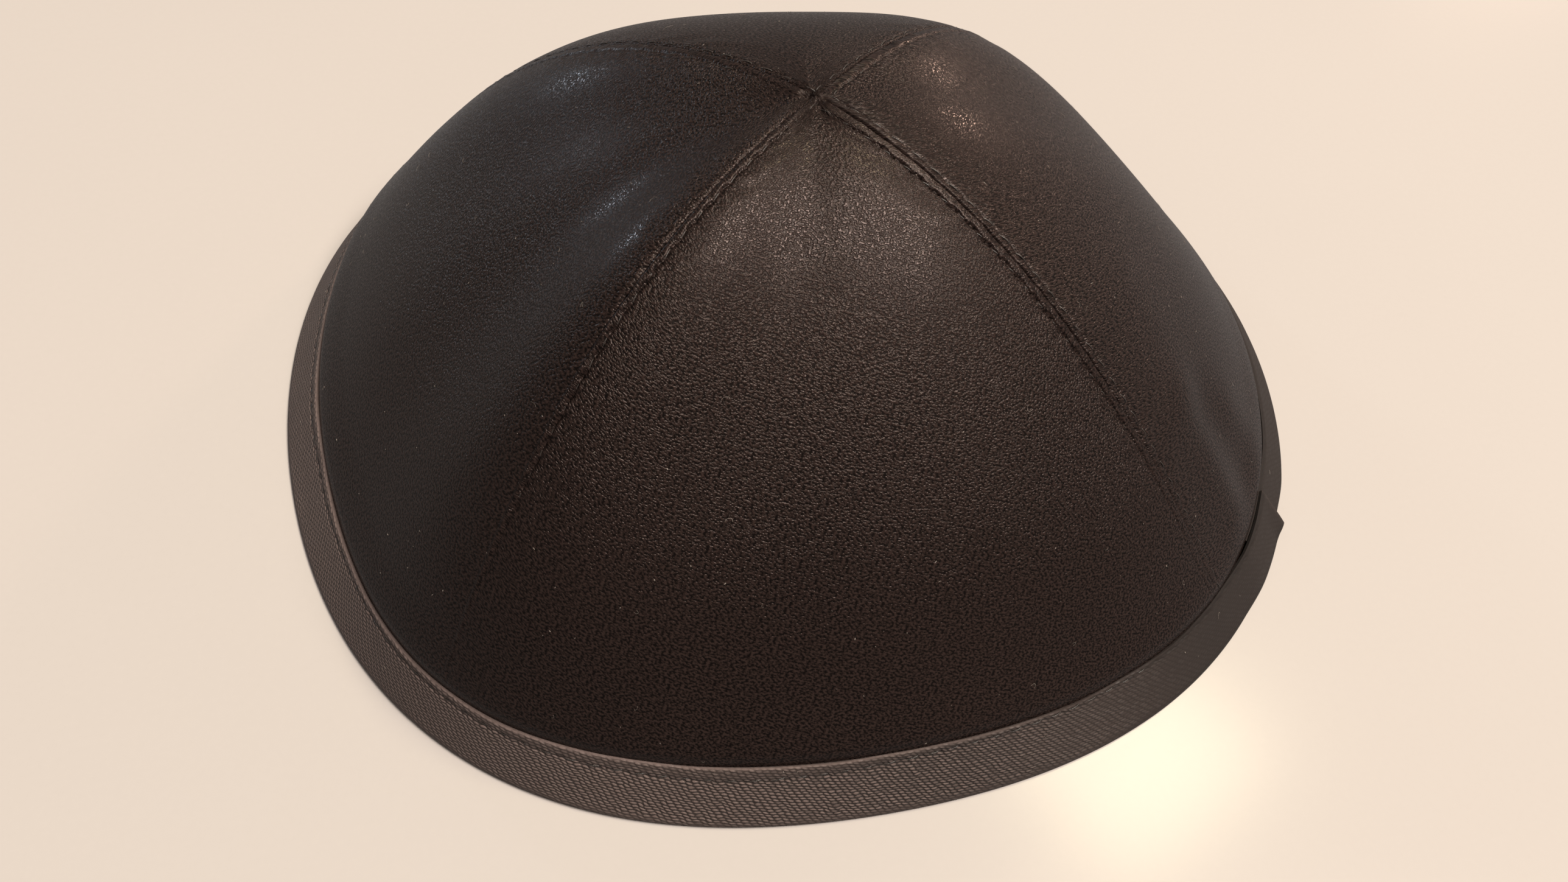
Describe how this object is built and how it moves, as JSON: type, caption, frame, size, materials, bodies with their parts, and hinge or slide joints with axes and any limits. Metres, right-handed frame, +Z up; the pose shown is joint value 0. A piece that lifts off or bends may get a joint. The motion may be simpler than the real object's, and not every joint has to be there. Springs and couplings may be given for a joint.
{
  "type": "kippah skullcap",
  "caption": "Domed black satin skullcap of seamed crown panels, a ribbed tape folded round its rim, hollow and open below, worn on the crown of the head.",
  "frame": {"origin": "bottom centre of the cap's box, on the surface that the rim rests on", "axes": "+Z up through the crown, +X along the cap's long side towards the tape's lapped end, -Y out through the front panel"},
  "size_m": [0.1772, 0.154, 0.068],
  "materials": {
    "crown_satin": "black satin with a fine crepe grain and a soft brown and grey sheen",
    "rim_tape": "matt black ribbed tape, ribs across its width, one sunk stitch row"
  },
  "bodies": {
    "root": {"panel_front": "crown_satin", "panel_right": "crown_satin", "panel_back": "crown_satin", "panel_left": "crown_satin", "rim_binding": "rim_tape"}
  },
  "joints": []
}
